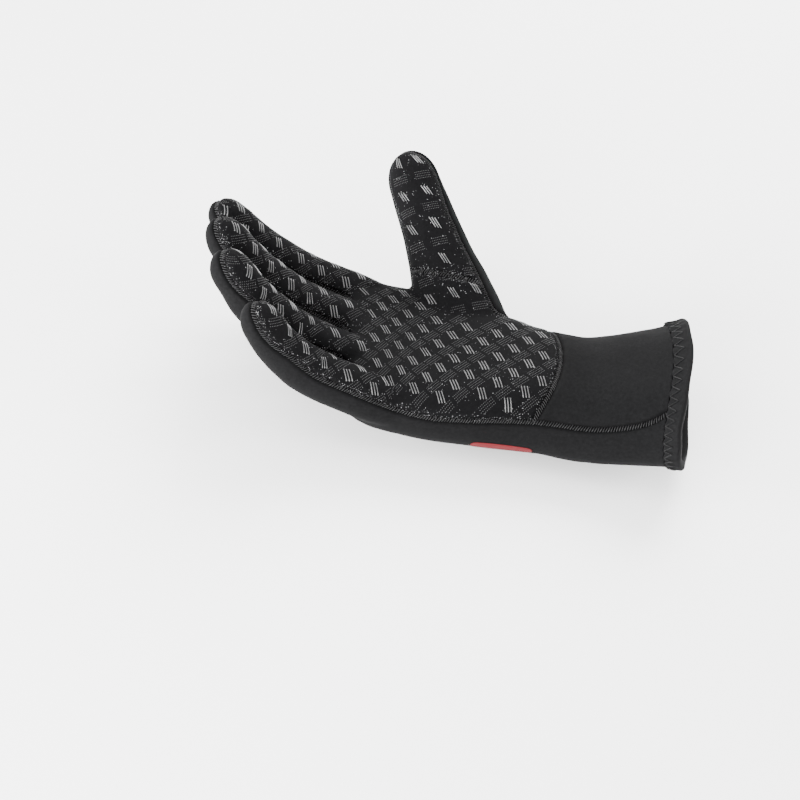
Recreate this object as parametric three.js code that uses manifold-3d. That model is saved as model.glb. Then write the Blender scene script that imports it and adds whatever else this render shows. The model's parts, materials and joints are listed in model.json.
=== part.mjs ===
// A right-hand neoprene glove for water sports, hollow, lying on its back with the palm up.
// Millimetres and degrees. +Z is up, the fingers point to -X, the thumb side is +Y.
// A tube's own frame has x running back to the wrist, y to the thumb side and z out of the palm.
import * as THREE from "three";
import { LoftGeometry } from "three/addons/geometries/LoftGeometry.js";
import { mergeVertices } from "three/addons/utils/BufferGeometryUtils.js";
import Module from "manifold-3d";

// Cloth
const wall = 3;
const seamGap = 0.3;
const floorPress = 1.6;

// Hand and gauntlet
const palmLength = 112;
const palmWidth = 95;
const palmDepth = 20;
const backDepth = 22;
const palmCup = 6;
const cuffLength = 59.5;
const wristPitch = 20;
const wristYaw = 12;
const wristBend = 14;
const wristSpread = 46;
const knucklePitch = 8;
const knuckleBack = 24;
const knuckleSpread = 26;
const backBow = 0.3;

// Hem of the gauntlet
const hemLength = 9;
const hemThickness = 4.6;
const hemProud = 0.9;

// Seam across the wrist, and the round seam behind the two middle knuckles, which spreads beyond
// the fingers' webs by so much for each millimetre
const wristSeam = 16.3;
const wristSeamBow = 11.5;
const wristSeamWidth = 84;
const insertDepth = 40;
const insertSpreadThumb = 0.04;
const insertSpreadLittle = 0.1;

// Fingers
const fingerLength = 84;
const fingerWidth = 24;
const fingerRoot = 34;
const fingerSeam = 0.62;

// Thumb
const thumbLength = 68;
const thumbWidth = 30;
const thumbDepth = 27;
const thumbRoot = 34;
const thumbSeam = 0.42;
const thumbSeamAt = -4;
const thumbSeamTilt = -30;

// Joints of a digit, as shares of its length
const digitSpread = 20;
const middleJoint = 0.3;
const endJoint = 0.62;

// Section and tip of a digit
const digitSquare = 2.15;
const tipRound = 0.62;
const domePower = 0.45;
const poleShare = 0.35;

// Cutters: how far they stand off the cloth, run on past its ends and reach across a tube, the last
// as shares of its width
const standOff = 0.5;
const thumbStandOff = 2;
const hemTuck = 2;
const runOn = 8;
const handReach = 1.3;
const digitReach = 3;
const farOff = 2 * (palmLength + cuffLength + fingerLength);

// Fineness of the lofts
const handSides = 34;
const digitSides = 16;
const handRings = 13;
const digitRings = 8;
const tipRings = 3;
const planSides = 16;

// The rows of a table as objects with named columns.
const table = (columns, rows) => {
  return rows.map((row) => Object.fromEntries(columns.map((column, i) => [column, row[i]])));
};

// Sections of the hand. at is a share of the gauntlet's length below zero, or of the palm's above.
// shift, width and bow are shares of the palm's width, palm and back of its two half depths, cup of
// the palm's own cup and hollow of the half depth. The seams are shares of the palm's half depth, on
// the little finger's side and on the thumb's. lean is the slope of the section's plane, and square
// the power of its outline. The back bows less than the palm, by backBow.
const handSections = table(
  ["at", "shift", "width", "palm", "back", "square", "littleSeam", "thumbSeam", "lean", "bow", "cup",
    "hollow"],
  [
    [-1.0, 0.0, 0.93, 1.25, 1.08, 2.2, 0.93, 0.5, 0.16, 0.07, 0.0, 0.0],
    [-0.75, 0.005, 0.87, 1.17, 1.0, 2.2, 0.65, 0.5, 0.12, 0.06, 0.0, 0.0],
    [-0.4, 0.02, 0.83, 1.12, 0.9, 2.2, 0.54, 0.5, 0.08, 0.05, 0.0, 0.0],
    [0.0, 0.02, 0.8, 1.09, 0.88, 2.2, 0.5, 0.5, 0.08, 0.06, 0.0, 0.0],
    [0.2, 0.0, 0.82, 1.1, 0.92, 2.3, 0.42, 0.5, 0.05, 0.05, 0.2, 0.04],
    [0.4, 0.01, 0.94, 1.05, 0.98, 2.4, 0.32, 0.5, 0.0, 0.02, 0.5, 0.1],
    [0.6, 0.02, 1.03, 0.92, 1.02, 2.5, 0.27, 0.5, -0.05, 0.0, 0.8, 0.12],
    [0.8, 0.005, 1.0, 0.78, 0.98, 2.7, 0.38, 0.45, -0.1, 0.0, 1.0, 0.06],
    [0.92, 0.0, 0.97, 0.68, 0.78, 2.7, 0.6, 0.5, -0.13, 0.0, 1.0, 0.0],
    [1.0, 0.0, 0.92, 0.46, 0.46, 2.4, 0.75, 0.7, -0.13, 0.0, 1.0, 0.0],
  ],
);

// The fingers. length is a share of the finger's, from the web to the tip, width and depth are
// shares of its width, across is a share of the palm's width from its middle line, and setback one
// of the palm's length. splay turns the whole finger, and the bends are those of its three joints.
const fingers = table(
  ["length", "width", "depth", "across", "setback", "splay", "knuckleBend", "middleBend", "endBend"],
  [
    [1.0, 1.0, 1.0, 0.36, 0.0, 3, 8, 15, 15],
    [1.0, 1.02, 1.02, 0.105, -0.01, 0, 13, 18, 16],
    [0.976, 0.98, 1.0, -0.155, 0.02, -3, 16, 20, 17],
    [0.786, 0.917, 0.958, -0.4, 0.08, -5, 17, 21, 17],
  ],
);

// The thumb, in the same shares. lift raises it out of the hand's plane, and roll turns its nail
// towards the fingers.
const thumb = {
  across: 0.3,
  setback: 0.25,
  splay: 54,
  lift: 30,
  roll: 22,
  knuckleBend: 0,
  middleBend: -4,
  endBend: 6,
};

// Sections of a finger and of the thumb: at is a share of the way from the root to the tip, and
// width and depth are shares of the digit's own.
const fingerSections = table(
  ["at", "width", "depth"],
  [
    [0.0, 0.72, 0.72],
    [0.25, 0.98, 0.98],
    [0.45, 1.0, 1.0],
    [0.7, 0.96, 0.96],
    [1.0, 0.84, 0.84],
  ],
);
const thumbSections = table(
  ["at", "width", "depth"],
  [
    [0.0, 1.5, 1.2],
    [0.25, 1.38, 1.18],
    [0.5, 1.12, 1.06],
    [0.75, 0.97, 0.98],
    [1.0, 0.88, 0.88],
  ],
);

const xAxis = new THREE.Vector3(1, 0, 0);
const yAxis = new THREE.Vector3(0, 1, 0);
const zAxis = new THREE.Vector3(0, 0, 1);
const { clamp, degToRad, lerp, smoothstep } = THREE.MathUtils;
const turnAbout = (axis, degrees) => new THREE.Quaternion().setFromAxisAngle(axis, degToRad(degrees));

const wasm = await Module();
wasm.setup();

// A closed manifold-3d solid of a three.js geometry.
function solid(geometry) {
  const bare = new THREE.BufferGeometry();
  bare.setAttribute("position", geometry.getAttribute("position"));
  bare.setIndex(geometry.getIndex());
  const merged = mergeVertices(bare, 1e-4);
  const corners = [...merged.getIndex().array];
  const faces = [];
  for (let i = 0; i < corners.length; i += 3) {
    const [a, b, c] = corners.slice(i, i + 3);
    if (a !== b && b !== c && c !== a) faces.push(a, b, c);
  }
  const mesh = new wasm.Mesh({
    numProp: 3,
    vertProperties: merged.getAttribute("position").array,
    triVerts: new Uint32Array(faces),
  });
  return new wasm.Manifold(mesh);
}

const loft = (rings) => solid(new LoftGeometry(rings, { capStart: true, capEnd: true }));
const joined = (solids) => solids.reduce((whole, next) => whole.add(next));

// The value of a column at any place along a table, by a smooth curve through its rows.
function sample(rows, at, column) {
  const last = rows.length - 1;
  let i = rows.findIndex((row) => row.at > at) - 1;
  if (i < 0) i = at <= rows[0].at ? 0 : last - 1;
  const slope = (a, b) => (rows[b][column] - rows[a][column]) / (rows[b].at - rows[a].at);
  const start = slope(Math.max(i - 1, 0), i + 1);
  const end = slope(i, Math.min(i + 2, last));
  const span = rows[i + 1].at - rows[i].at;
  const t = clamp((at - rows[i].at) / span, 0, 1);
  const rise = rows[i + 1][column] - rows[i][column];
  const bulge = (1 - t) * (start * span - rise) - t * (end * span - rise);
  return rows[i][column] + t * rise + t * (1 - t) * bulge;
}

// A bent centre line. It leaves start along heading's -x, or along its +x when backwards, and each
// joint turns it by pitch and yaw, spread smoothly over a stretch round its place.
class Spine {
  static step = 1;

  constructor(start, heading, joints, length, backwards = false) {
    const direction = xAxis.clone().multiplyScalar(backwards ? 1 : -1);
    const point = start.clone();
    const turn = heading.clone();
    this.frames = [{ point: point.clone(), turn: turn.clone() }];
    for (let s = 0; s < length + 2 * runOn; s += Spine.step) {
      for (const joint of joints) {
        const first = joint.at - joint.spread / 2;
        const last = joint.at + joint.spread / 2;
        const part = smoothstep(s + Spine.step, first, last) - smoothstep(s, first, last);
        turn.multiply(turnAbout(yAxis, joint.pitch * part));
        turn.multiply(turnAbout(zAxis, joint.yaw * part));
      }
      point.addScaledVector(direction.clone().applyQuaternion(turn), Spine.step);
      this.frames.push({ point: point.clone(), turn: turn.clone() });
    }
  }

  frameAt(distance) {
    const place = Math.max(distance / Spine.step, 0);
    const i = Math.min(Math.floor(place), this.frames.length - 2);
    const a = this.frames[i];
    const b = this.frames[i + 1];
    const share = Math.min(place - i, 1);
    return { point: a.point.clone().lerp(b.point, share), turn: a.turn.clone().slerp(b.turn, share) };
  }
}

// A tube of neoprene round a centre line. A size holds the section's width and half depths, and
// optionally its shift to the thumb's side, the lean and bow of its plane, the cup that raises its
// little finger's edge, the hollow of the palm and the height of the seam at either edge.
class Tube {
  // Puts a point of the section, y across and z out of the palm, in its place in the glove.
  place(distance, size, y, z) {
    const frame = this.frameAt(distance);
    const across = y / size.width;
    const up = clamp(z / (z > 0 ? size.palm : size.back), -1, 1);
    const bow = (size.bow ?? 0) * lerp(backBow, 1, (up + 1) / 2);
    const x = (size.lean ?? 0) * y + bow * (1 - 4 * across ** 2);
    const raised = z + (size.cup ?? 0) * (0.5 - across) ** 2;
    const point = new THREE.Vector3(x, y + (size.shift ?? 0), raised);
    return point.applyQuaternion(frame.turn).add(frame.point);
  }

  // The ring of the tube's section, in from its outside by inset. Below the floor it lies flat.
  ring(distance, inset) {
    const size = this.sizeAt(distance, inset);
    const halfWidth = size.width / 2 - inset;
    const power = 2 / size.square;
    const points = [];
    for (let i = 0; i < this.sides; i++) {
      const angle = (-2 * Math.PI * i) / this.sides;
      const along = Math.cos(angle);
      const up = Math.sin(angle);
      const y = Math.sign(along) * Math.abs(along) ** power * halfWidth;
      const open = Math.max(1 - 4 * (y / size.width) ** 2, 0);
      const palm = (size.palm - inset) * (1 - (size.hollow ?? 0) * open ** 2);
      const z = Math.sign(up) * Math.abs(up) ** power * (up > 0 ? palm : size.back - inset);
      const point = this.place(distance, size, y, z);
      point.z = Math.max(point.z, inset, 0);
      points.push(point);
    }
    return points;
  }

  solid(distances, inset) {
    return loft(distances.map((distance) => this.ring(distance, inset)));
  }

  // The part of the tube on the palm's side of its seams, which are lowered by drop.
  palmSide(distances, inset, drop) {
    const slab = distances.map((distance) => {
      const size = this.sizeAt(distance, inset);
      const flat = { ...size, cup: 0, bow: 0 };
      const edge = this.reach / 2;
      const seam = (y) => lerp(size.little, size.thumb, clamp(y / size.width + 0.5, -0.5, 1.5)) - drop;
      return [
        this.place(distance, flat, -edge, seam(-edge) + (size.cup ?? 0)),
        this.place(distance, flat, -edge, this.reach),
        this.place(distance, flat, edge, this.reach),
        this.place(distance, flat, edge, seam(edge)),
      ];
    });
    return this.solid(distances, inset).intersect(loft(slab));
  }
}

// The hand and gauntlet. Distances run from the wrist, below zero along the gauntlet.
class Hand extends Tube {
  constructor() {
    super();
    this.sides = handSides;
    this.reach = handReach * palmWidth;
    const wrist = new THREE.Vector3(0, 0, backDepth - floorPress);
    const level = new THREE.Quaternion();
    const knuckles = { at: palmLength - knuckleBack, spread: knuckleSpread, pitch: knucklePitch, yaw: 0 };
    const bend = { at: wristBend, spread: wristSpread, pitch: -wristPitch, yaw: wristYaw };
    this.palmSpine = new Spine(wrist, level, [knuckles], palmLength);
    this.cuffSpine = new Spine(wrist, level, [bend], cuffLength, true);
  }

  frameAt(distance) {
    return distance < 0 ? this.cuffSpine.frameAt(-distance) : this.palmSpine.frameAt(distance);
  }

  sizeAt(distance) {
    const at = clamp(distance / (distance < 0 ? cuffLength : palmLength), -1, 1);
    const share = (column) => sample(handSections, at, column);
    const palm = share("palm") * palmDepth;
    return {
      width: share("width") * palmWidth,
      shift: share("shift") * palmWidth,
      palm,
      back: share("back") * backDepth,
      square: share("square"),
      lean: share("lean"),
      bow: share("bow") * palmWidth,
      cup: share("cup") * palmCup,
      hollow: share("hollow"),
      little: share("littleSeam") * palm,
      thumb: share("thumbSeam") * palm,
    };
  }

  distances(from, to, count) {
    return Array.from({ length: count + 1 }, (_, i) => lerp(from, to, i / count));
  }
}

// A finger or the thumb. Distances run from its root, which lies inside the hand.
class Digit extends Tube {
  constructor(hand, shape, sections, root, seam) {
    super();
    Object.assign(this, shape);
    this.sides = digitSides;
    this.reach = digitReach * shape.width;
    this.sections = sections;
    this.root = root;
    this.seam = seam;
    this.neck = root + shape.length - tipRound * shape.width;
    const base = hand.frameAt(palmLength * (1 - shape.setback) - root);
    const size = hand.sizeAt(palmLength * (1 - shape.setback));
    const y = shape.across * palmWidth;
    const start = new THREE.Vector3(0, y, size.cup * (0.5 - y / size.width) ** 2);
    start.applyQuaternion(base.turn).add(base.point);
    const heading = base.turn
      .clone()
      .multiply(turnAbout(zAxis, -shape.splay))
      .multiply(turnAbout(yAxis, shape.lift ?? 0))
      .multiply(turnAbout(xAxis, shape.roll ?? 0));
    const joints = [
      { at: root - knuckleBack, spread: digitSpread, pitch: shape.knuckleBend, yaw: 0 },
      { at: root + shape.length * middleJoint, spread: digitSpread, pitch: shape.middleBend, yaw: 0 },
      { at: root + shape.length * endJoint, spread: digitSpread, pitch: shape.endBend, yaw: 0 },
    ];
    this.spine = new Spine(start, heading, joints, root + shape.length);
  }

  frameAt(distance) {
    return this.spine.frameAt(distance);
  }

  // The tip closes as a dome whose inside is smaller by inset all round.
  sizeAt(distance, inset) {
    const at = Math.min(distance / this.neck, 1);
    const dome = this.root + this.length - inset - this.neck;
    const up = clamp((distance - this.neck) / dome, 0, 1);
    const scale = (1 - up ** 2) ** domePower;
    const depth = (sample(this.sections, at, "depth") * this.depth) / 2;
    const width = sample(this.sections, at, "width") * this.width;
    return {
      width: (width - 2 * inset) * scale + 2 * inset,
      palm: (depth - inset) * scale + inset,
      back: (depth - inset) * scale + inset,
      square: digitSquare,
      little: this.seam * depth,
      thumb: this.seam * depth,
    };
  }

  distances(inset) {
    const dome = this.root + this.length - inset - this.neck;
    const places = Array.from({ length: digitRings + 1 }, (_, i) => (this.neck * i) / digitRings);
    for (let i = 1; i <= tipRings; i++) {
      places.push(this.neck + dome * Math.sin(degToRad((90 * i) / (tipRings + poleShare))));
    }
    return places;
  }
}

const hand = new Hand();
const fingerDigits = fingers.map((row) => {
  const length = row.length * fingerLength;
  const shape = { ...row, length, width: row.width * fingerWidth, depth: row.depth * fingerWidth };
  return new Digit(hand, shape, fingerSections, fingerRoot, fingerSeam);
});
const thumbShape = { ...thumb, length: thumbLength, width: thumbWidth, depth: thumbDepth };
const thumbDigit = new Digit(hand, thumbShape, thumbSections, thumbRoot, thumbSeam);
const digits = [...fingerDigits, thumbDigit];

// The web between a finger and the next one, measured across the palm.
const web = (i) => ((fingers[i].across + fingers[i + 1].across) / 2) * palmWidth;

const hemStart = hemLength - cuffLength;
const bodyRings = hand.distances(hemStart - hemTuck, palmLength, handRings);
const outside = joined([
  hand.solid(bodyRings, 0),
  ...digits.map((digit) => digit.solid(digit.distances(0), 0)),
]);
const hollowRings = hand.distances(-cuffLength - runOn, palmLength - wall, handRings);
const hollow = joined([
  hand.solid(hollowRings, wall),
  ...digits.map((digit) => digit.solid(digit.distances(wall), wall)),
]);

// The hem's band, the same widened by the gap to the cloth, and the cloth up to it.
const hemOutside = hand.solid(hand.distances(-cuffLength, hemStart, 2), -hemProud);
const hemRings = hand.distances(-cuffLength - runOn, hemStart + runOn, 5);
const hemInside = hand.solid(hemRings, hemThickness - hemProud);
const hemAway = new THREE.Vector3(-seamGap, 0, 0).applyQuaternion(hand.frameAt(hemStart).turn);
const hemSpace = hemOutside.add(hemOutside.translate(hemAway.toArray()));
const shell = outside.subtract(hollow).subtract(hemSpace);

// The grip side of the whole glove, with its seams lowered by drop.
function palmSide(drop) {
  const rings = hand.distances(-cuffLength - runOn, palmLength + standOff, handRings);
  const inner = digits.map((digit) => digit.palmSide(digit.distances(-standOff), -standOff, drop));
  return joined([hand.palmSide(rings, -standOff, drop), ...inner]);
}

// The thumb beyond the seam across its base.
function thumbEnd() {
  const frame = thumbDigit.frameAt(thumbRoot + thumbSeamAt);
  const box = new THREE.BoxGeometry(palmLength, palmLength, palmLength).translate(-palmLength / 2, 0, 0);
  const tilt = turnAbout(zAxis, thumbSeamTilt);
  box.applyQuaternion(frame.turn.clone().multiply(tilt)).translate(...frame.point.toArray());
  const tube = thumbDigit.solid(thumbDigit.distances(-thumbStandOff), -thumbStandOff);
  return tube.intersect(solid(box));
}

// A prism over an outline seen in plan, which passes through the whole glove.
function prism(plan) {
  const geometry = new THREE.ExtrudeGeometry(plan, {
    depth: farOff,
    bevelEnabled: false,
    curveSegments: planSides,
  });
  return solid(geometry.translate(0, 0, -farOff / 2));
}

// Everything on the gauntlet's side of the seam at the wrist, which bows towards the gauntlet.
function cuffEnd() {
  const edge = wristSeamWidth / 2;
  const plan = new THREE.Shape();
  plan.moveTo(-wristSeam, -palmWidth);
  plan.lineTo(-wristSeam, -edge);
  plan.quadraticCurveTo(2 * wristSeamBow - wristSeam, 0, -wristSeam, edge);
  plan.lineTo(-wristSeam, palmWidth);
  plan.lineTo(farOff, palmWidth);
  plan.lineTo(farOff, -palmWidth);
  return prism(plan);
}

// Everything between two places across the palm.
function slice(from, to) {
  const box = new THREE.BoxGeometry(farOff, to - from, farOff);
  return solid(box.translate(0, (from + to) / 2, 0));
}

// A tall prism over the middle and ring fingers, seen in plan. Their backs are panels of their
// own, which end in one round seam behind the knuckles.
function knucklePrism(grow) {
  const thumbSide = web(0) + grow;
  const littleSide = web(2) - grow;
  const radius = (thumbSide - littleSide) / 2;
  const reach = farOff - palmLength;
  const plan = new THREE.Shape();
  plan.moveTo(-farOff, littleSide - reach * insertSpreadLittle);
  plan.lineTo(-palmLength, littleSide);
  plan.absarc(insertDepth - palmLength + grow - radius, (thumbSide + littleSide) / 2, radius,
    -Math.PI / 2, Math.PI / 2, false);
  plan.lineTo(-palmLength, thumbSide);
  plan.lineTo(-farOff, thumbSide + reach * insertSpreadThumb);
  return prism(plan);
}

const group = new THREE.Group();

// Adds a named mesh of a manifold-3d solid to the glove.
function addPiece(name, piece, look) {
  const mesh = piece.getMesh();
  const positions = new Float32Array(mesh.numVert * 3);
  for (let i = 0; i < mesh.numVert; i++) {
    positions.set(mesh.vertProperties.subarray(i * mesh.numProp, i * mesh.numProp + 3), i * 3);
  }
  const geometry = new THREE.BufferGeometry();
  geometry.setAttribute("position", new THREE.BufferAttribute(positions, 3));
  geometry.setIndex(new THREE.BufferAttribute(mesh.triVerts, 1));
  geometry.computeVertexNormals();
  const node = new THREE.Mesh(geometry, new THREE.MeshStandardMaterial(look));
  node.name = name;
  group.add(node);
}

const neoprene = { color: 0x2b2b2d, roughness: 0.85, metalness: 0 };
const grip = { color: 0x1d1d1f, roughness: 0.6, metalness: 0 };

// The grip side: the palm with the fingers, the thumb and the gauntlet's plain front.
const gripSide = palmSide(0);
const front = shell.intersect(gripSide);
const thumbBeyond = thumbEnd();
const cuffBeyond = cuffEnd();
const back = new THREE.Vector3(seamGap, 0, 0).applyQuaternion(thumbDigit.frameAt(thumbRoot).turn);
const palm = front
  .subtract(thumbBeyond.add(thumbBeyond.translate(back.toArray())))
  .subtract(cuffBeyond.add(cuffBeyond.translate([-seamGap, 0, 0])));
addPiece("palm_panel", palm, grip);
addPiece("thumb_palm", front.intersect(thumbBeyond), grip);
addPiece("cuff_palm", front.intersect(cuffBeyond), neoprene);

// The plain back, which also wraps round the sides, and the two panels over the knuckles.
const rear = shell.subtract(gripSide.add(palmSide(seamGap)));
const knuckles = rear.intersect(knucklePrism(0));
addPiece("back_panel", rear.subtract(knucklePrism(seamGap)), neoprene);
addPiece("middle_back", knuckles.intersect(slice(web(1) + seamGap / 2, palmWidth)), neoprene);
addPiece("ring_back", knuckles.intersect(slice(-palmWidth, web(1) - seamGap / 2)), neoprene);

// The hem stands a little proud of the gauntlet inside and out.
addPiece("hem_band", hemOutside.subtract(hemInside), neoprene);

// The origin is in the middle of the glove's foot.
group.updateMatrixWorld(true);
const bounds = new THREE.Box3().setFromObject(group, true);
const centre = bounds.getCenter(new THREE.Vector3());
for (const node of group.children) node.geometry.translate(-centre.x, -centre.y, -bounds.min.z);

export default group;
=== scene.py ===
"""A neoprene glove for water sports, lying on its back with the palm up.

The skin is lofted round the centre lines of the hand and the five digits, fused, cut along its
seams into sewn panels and given a wall. Overlock stitches, grip bars, the hem and a print follow.
Lengths are metres. The gauntlet's mouth is at +X, the thumb's side at +Y and the palm faces +Z.
"""

import json
import logging
import math
from collections.abc import Callable, Sequence
from dataclasses import dataclass, field
from enum import Enum

import bmesh
import bpy
import numpy as np
from bmesh.types import BMesh, BMFace, BMVert
from mathutils import Matrix, Quaternion, Vector, noise
from mathutils.bvhtree import BVHTree
from mathutils.kdtree import KDTree

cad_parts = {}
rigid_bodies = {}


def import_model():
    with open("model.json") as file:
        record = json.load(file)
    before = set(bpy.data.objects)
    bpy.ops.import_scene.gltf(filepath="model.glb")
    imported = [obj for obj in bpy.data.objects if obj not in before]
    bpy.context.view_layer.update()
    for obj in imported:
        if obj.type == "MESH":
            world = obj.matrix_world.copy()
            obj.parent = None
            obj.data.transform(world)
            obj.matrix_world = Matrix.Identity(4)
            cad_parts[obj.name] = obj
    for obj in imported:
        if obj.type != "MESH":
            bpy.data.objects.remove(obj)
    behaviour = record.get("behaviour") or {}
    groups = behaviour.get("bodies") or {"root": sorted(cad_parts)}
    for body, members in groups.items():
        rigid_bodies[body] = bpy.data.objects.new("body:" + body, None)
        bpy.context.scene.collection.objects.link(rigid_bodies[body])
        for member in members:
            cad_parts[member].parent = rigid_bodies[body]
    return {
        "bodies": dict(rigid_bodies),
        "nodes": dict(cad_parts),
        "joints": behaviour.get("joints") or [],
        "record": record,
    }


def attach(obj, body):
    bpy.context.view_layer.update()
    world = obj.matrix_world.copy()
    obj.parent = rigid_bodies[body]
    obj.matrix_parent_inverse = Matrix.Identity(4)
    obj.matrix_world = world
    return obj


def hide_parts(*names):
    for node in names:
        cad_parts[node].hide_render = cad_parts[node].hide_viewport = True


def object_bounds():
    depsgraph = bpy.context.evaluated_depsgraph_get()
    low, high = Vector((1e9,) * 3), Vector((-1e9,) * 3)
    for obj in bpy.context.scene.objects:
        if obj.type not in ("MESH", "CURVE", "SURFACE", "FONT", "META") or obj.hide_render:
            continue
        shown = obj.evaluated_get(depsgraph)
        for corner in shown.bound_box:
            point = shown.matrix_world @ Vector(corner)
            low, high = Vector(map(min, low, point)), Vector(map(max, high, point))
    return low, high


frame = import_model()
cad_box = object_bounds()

log = logging.getLogger("glove")
MM = 0.001
X_AXIS = Vector((1.0, 0.0, 0.0))
Y_AXIS = Vector((0.0, 1.0, 0.0))
Z_AXIS = Vector((0.0, 0.0, 1.0))


class Panel(Enum):
    """The sewn panels, named for the CAD nodes that they stand for."""

    PALM = "palm_panel"
    THUMB = "thumb_palm"
    CUFF = "cuff_palm"
    BACK = "back_panel"
    MIDDLE = "middle_back"
    RING = "ring_back"


PANELS = list(Panel)
GRIP_PANELS = (Panel.PALM, Panel.THUMB)


def clamp(value: float, low: float, high: float) -> float:
    """A value kept between two limits."""
    return max(low, min(high, value))


def lerp(a: float, b: float, share: float) -> float:
    """A value a share of the way from a to b."""
    return a + (b - a) * share


def smoothstep(value: float, low: float, high: float) -> float:
    """A smooth rise from 0 at low to 1 at high."""
    t = clamp((value - low) / (high - low), 0.0, 1.0)
    return t * t * (3.0 - 2.0 * t)


def turn_about(axis: Vector, degrees: float) -> Quaternion:
    """A turn about an axis."""
    return Quaternion(axis, math.radians(degrees))


class Sections:
    """A table with named columns, a row for each section, read by a smooth curve."""

    def __init__(self, columns: str, *rows: tuple[float, ...]) -> None:
        """Keeps the rows.

        Args:
            columns: the columns' names, the first of which is the place.
            rows: one row of values for each section.
        """
        self.names = columns.split()
        self.rows = rows

    def value(self, at: float, name: str) -> float:
        """The value of a column at any place.

        Args:
            at: the place, in the terms of the first column.
            name: the column.

        Returns:
            The value, by a smooth curve through the rows.
        """
        rows = self.rows
        last = len(rows) - 1
        column = self.names.index(name)
        i = next((k for k, row in enumerate(rows) if row[0] > at), last) - 1
        i = int(clamp(i, 0, last - 1))

        def slope(a: int, b: int) -> float:
            """The slope of the column between two rows."""
            return (rows[b][column] - rows[a][column]) / (rows[b][0] - rows[a][0])

        span = rows[i + 1][0] - rows[i][0]
        t = clamp((at - rows[i][0]) / span, 0.0, 1.0)
        rise = rows[i + 1][column] - rows[i][column]
        start = slope(max(i - 1, 0), i + 1) * span - rise
        end = slope(i, min(i + 2, last)) * span - rise
        return rows[i][column] + t * rise + t * (1 - t) * ((1 - t) * start - t * end)


HAND_SECTIONS = Sections(
    "at shift width palm back square little_seam thumb_seam lean bow cup hollow",
    (-1.0, 0.0, 0.93, 1.25, 1.08, 2.2, 0.93, 0.5, 0.16, 0.07, 0.0, 0.0),
    (-0.75, 0.005, 0.87, 1.17, 1.0, 2.2, 0.65, 0.5, 0.12, 0.06, 0.0, 0.0),
    (-0.4, 0.02, 0.83, 1.12, 0.9, 2.2, 0.54, 0.5, 0.08, 0.05, 0.0, 0.0),
    (0.0, 0.02, 0.8, 1.09, 0.88, 2.2, 0.5, 0.5, 0.08, 0.06, 0.0, 0.0),
    (0.2, 0.0, 0.82, 1.1, 0.92, 2.3, 0.42, 0.5, 0.05, 0.05, 0.2, 0.04),
    (0.4, 0.01, 0.94, 1.05, 0.98, 2.4, 0.32, 0.5, 0.0, 0.02, 0.5, 0.1),
    (0.6, 0.02, 1.03, 0.92, 1.02, 2.5, 0.27, 0.5, -0.05, 0.0, 0.8, 0.12),
    (0.8, 0.005, 1.0, 0.78, 0.98, 2.7, 0.38, 0.45, -0.1, 0.0, 1.0, 0.06),
    (0.92, 0.0, 0.97, 0.68, 0.78, 2.7, 0.6, 0.5, -0.13, 0.0, 1.0, 0.0),
    (1.0, 0.0, 0.92, 0.46, 0.46, 2.4, 0.75, 0.7, -0.13, 0.0, 1.0, 0.0),
)
FINGER_SECTIONS = Sections(
    "at width depth",
    (0.0, 0.72, 0.72),
    (0.25, 0.98, 0.98),
    (0.45, 1.0, 1.0),
    (0.7, 0.96, 0.96),
    (1.0, 0.84, 0.84),
)
THUMB_SECTIONS = Sections(
    "at width depth",
    (0.0, 1.5, 1.2),
    (0.25, 1.38, 1.18),
    (0.5, 1.12, 1.06),
    (0.75, 0.97, 0.98),
    (1.0, 0.88, 0.88),
)


@dataclass(frozen=True)
class Size:
    """One section of a tube: its width and half depths, and how it is bent out of its plane."""

    width: float
    palm: float
    back: float
    square: float
    little: float
    thumb: float
    shift: float = 0.0
    lean: float = 0.0
    bow: float = 0.0
    cup: float = 0.0
    hollow: float = 0.0


@dataclass(frozen=True)
class Joint:
    """A bend of a centre line: its place, the stretch that it is spread over, and its turns."""

    at: float
    spread: float
    pitch: float
    yaw: float = 0.0


class Spine:
    """A bent centre line."""

    step = 1.0 * MM
    spare = 16.0 * MM

    def __init__(
        self,
        start: Vector,
        heading: Quaternion,
        joints: Sequence[Joint],
        length: float,
        backwards: bool = False,
    ) -> None:
        """Lays the line out in short steps.

        Args:
            start: its first point.
            heading: the turn of its first frame, whose -x the line follows.
            joints: its bends.
            length: its length.
            backwards: whether it follows +x instead.
        """
        along = X_AXIS if backwards else -X_AXIS
        point = start.copy()
        turn = heading.copy()
        self.frames = [(point.copy(), turn.copy())]
        for i in range(math.ceil((length + self.spare) / self.step)):
            s = i * self.step
            for joint in joints:
                low = joint.at - joint.spread / 2
                high = joint.at + joint.spread / 2
                part = smoothstep(s + self.step, low, high) - smoothstep(s, low, high)
                turn = turn @ turn_about(Y_AXIS, joint.pitch * part)
                turn = turn @ turn_about(Z_AXIS, joint.yaw * part)
            point += (turn @ along) * self.step
            self.frames.append((point.copy(), turn.copy()))

    def frame_at(self, distance: float) -> tuple[Vector, Quaternion]:
        """The point and turn of the line's own frame.

        Args:
            distance: how far along the line.

        Returns:
            The frame's origin and its turn.
        """
        place = max(distance / self.step, 0.0)
        i = min(int(place), len(self.frames) - 2)
        share = min(place - i, 1.0)
        (p, a), (q, b) = self.frames[i], self.frames[i + 1]
        return p.lerp(q, share), a.slerp(b, share)


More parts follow.
